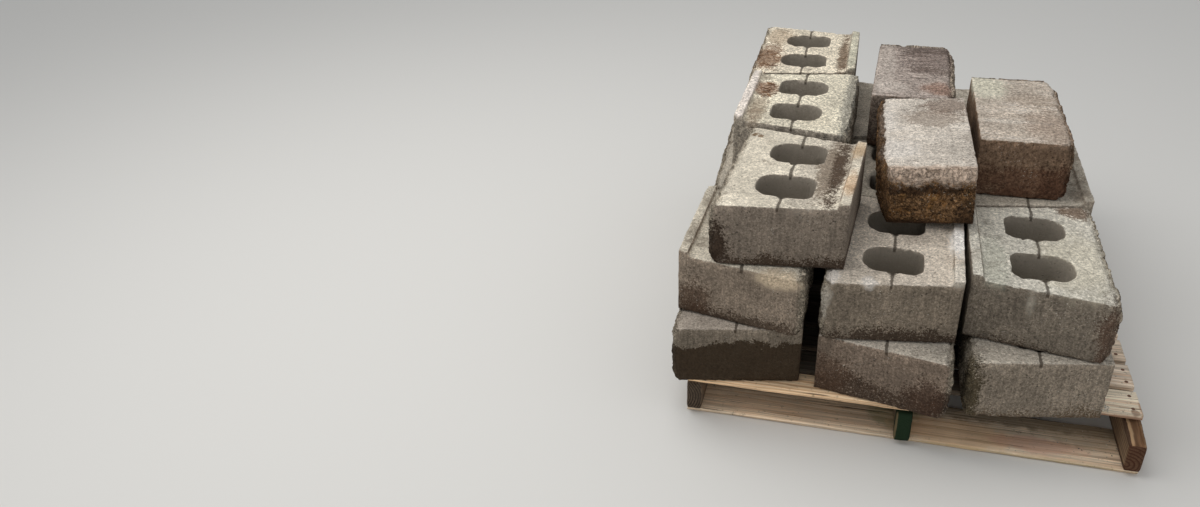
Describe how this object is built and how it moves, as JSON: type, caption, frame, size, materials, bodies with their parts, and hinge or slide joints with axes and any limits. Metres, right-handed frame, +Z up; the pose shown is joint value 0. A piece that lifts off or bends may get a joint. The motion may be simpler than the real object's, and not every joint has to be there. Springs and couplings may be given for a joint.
{
  "type": "pallet of concrete retaining-wall blocks",
  "caption": "Weathered timber pallet carrying a partly used stack of dry-cast concrete retaining-wall blocks, stored upside down with hollows and rear lips up.",
  "frame": {"origin": "under the middle of the whole load's box, at the underside of the bottom boards", "axes": "+X to the right along the pallet's front, +Y away from the front, +Z up"},
  "size_m": [1.0686, 1.3572, 0.5833],
  "materials": {
    "block_concrete": "rough dry-cast concrete",
    "corner_concrete": "rough dry-cast concrete",
    "deck_wood": "rough sawn",
    "bottom_wood": "weathered rough sawn",
    "stringer_left": "weathered rough sawn",
    "stringer_middle": "weathered, front end painted green",
    "stringer_right": "rough sawn, torn along its top at the front"
  },
  "bodies": {
    "root": {"stringer_left": "stringer_left", "stringer_middle": "stringer_middle", "stringer_right": "stringer_right", "deck_lead": "deck_wood", "deck_01": "deck_wood", "deck_02": "deck_wood", "deck_03": "deck_wood", "deck_04": "deck_wood", "deck_05": "deck_wood", "deck_06": "deck_wood", "deck_07": "deck_wood", "deck_08": "deck_wood", "deck_09": "deck_wood", "deck_10": "deck_wood", "deck_11": "deck_wood", "bottom_front": "bottom_wood", "bottom_middle": "bottom_wood", "bottom_back": "bottom_wood", "base_left_front": "block_concrete", "base_left_middle": "block_concrete", "base_left_back": "block_concrete", "base_centre_front": "block_concrete", "base_centre_middle": "block_concrete", "base_centre_back": "block_concrete", "base_right_front": "block_concrete", "base_right_middle": "block_concrete", "base_right_back": "block_concrete", "middle_left_front": "block_concrete", "middle_left_middle": "block_concrete", "middle_left_back": "block_concrete", "middle_centre_front": "block_concrete", "middle_centre_middle": "block_concrete", "middle_centre_back": "block_concrete", "middle_right_front": "block_concrete", "middle_right_middle": "block_concrete", "middle_right_back": "block_concrete", "top_left_front": "block_concrete", "top_left_middle": "block_concrete", "top_left_back": "block_concrete", "corner_front": "corner_concrete", "corner_back": "corner_concrete", "corner_right": "corner_concrete"}
  },
  "joints": []
}
